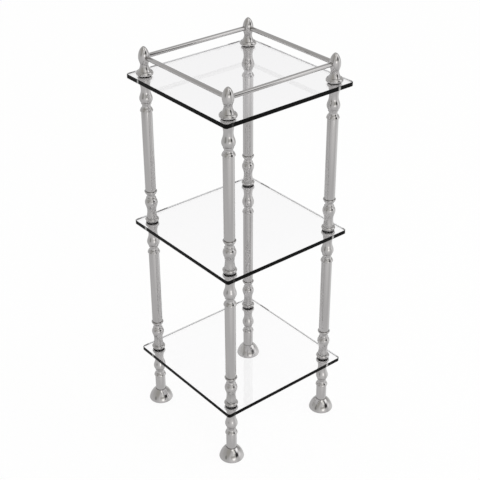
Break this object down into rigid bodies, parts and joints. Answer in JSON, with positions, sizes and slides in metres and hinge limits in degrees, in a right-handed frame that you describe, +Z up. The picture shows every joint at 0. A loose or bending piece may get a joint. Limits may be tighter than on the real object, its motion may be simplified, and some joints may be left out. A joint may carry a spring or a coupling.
{
  "type": "three-tier etagere",
  "caption": "Free-standing square etagere of clear glass shelves clamped between turned polished metal spindles on tubular posts, with bell feet, acorn finials and a gallery rail.",
  "frame": {"origin": "centre of the footprint, on the floor", "axes": "+Z up, -Y towards the front, +X to the right; the four sides are alike"},
  "size_m": [0.3556, 0.3556, 0.9672],
  "materials": {
    "polished_nickel": "cast and turned, polished nickel plate",
    "nickel_tube": "drawn tube and rod, polished nickel plate",
    "shelf_glass": "clear float glass with polished edges",
    "black_rubber": "matt black washer",
    "felt": "dark grey pressed felt",
    "zinc_steel": "zinc-plated fastener steel"
  },
  "bodies": {
    "root": {"front_left_foot_pad": "felt", "front_left_foot": "polished_nickel", "front_left_leg_tube": "nickel_tube", "front_left_spindle_under_bottom": "polished_nickel", "front_left_spindle_over_bottom": "polished_nickel", "front_left_lower_tube": "nickel_tube", "front_left_spindle_under_middle": "polished_nickel", "front_left_spindle_over_middle": "polished_nickel", "front_left_upper_tube": "nickel_tube", "front_left_spindle_under_top": "polished_nickel", "front_left_finial": "polished_nickel", "front_right_foot_pad": "felt", "front_right_foot": "polished_nickel", "front_right_leg_tube": "nickel_tube", "front_right_spindle_under_bottom": "polished_nickel", "front_right_spindle_over_bottom": "polished_nickel", "front_right_lower_tube": "nickel_tube", "front_right_spindle_under_middle": "polished_nickel", "front_right_spindle_over_middle": "polished_nickel", "front_right_upper_tube": "nickel_tube", "front_right_spindle_under_top": "polished_nickel", "front_right_finial": "polished_nickel", "back_left_foot_pad": "felt", "back_left_foot": "polished_nickel", "back_left_leg_tube": "nickel_tube", "back_left_spindle_under_bottom": "polished_nickel", "back_left_spindle_over_bottom": "polished_nickel", "back_left_lower_tube": "nickel_tube", "back_left_spindle_under_middle": "polished_nickel", "back_left_spindle_over_middle": "polished_nickel", "back_left_upper_tube": "nickel_tube", "back_left_spindle_under_top": "polished_nickel", "back_left_finial": "polished_nickel", "back_right_foot_pad": "felt", "back_right_foot": "polished_nickel", "back_right_leg_tube": "nickel_tube", "back_right_spindle_under_bottom": "polished_nickel", "back_right_spindle_over_bottom": "polished_nickel", "back_right_lower_tube": "nickel_tube", "back_right_spindle_under_middle": "polished_nickel", "back_right_spindle_over_middle": "polished_nickel", "back_right_upper_tube": "nickel_tube", "back_right_spindle_under_top": "polished_nickel", "back_right_finial": "polished_nickel", "bottom_shelf": "shelf_glass", "middle_shelf": "shelf_glass", "top_shelf": "shelf_glass", "bottom_shelf_washers": "black_rubber", "middle_shelf_washers": "black_rubber", "top_shelf_washers": "black_rubber", "bottom_shelf_studs": "zinc_steel", "middle_shelf_studs": "zinc_steel", "top_shelf_studs": "zinc_steel", "front_rail": "nickel_tube", "back_rail": "nickel_tube", "left_rail": "nickel_tube", "right_rail": "nickel_tube", "leg_plugs": "zinc_steel", "foot_screws": "zinc_steel"}
  },
  "joints": []
}
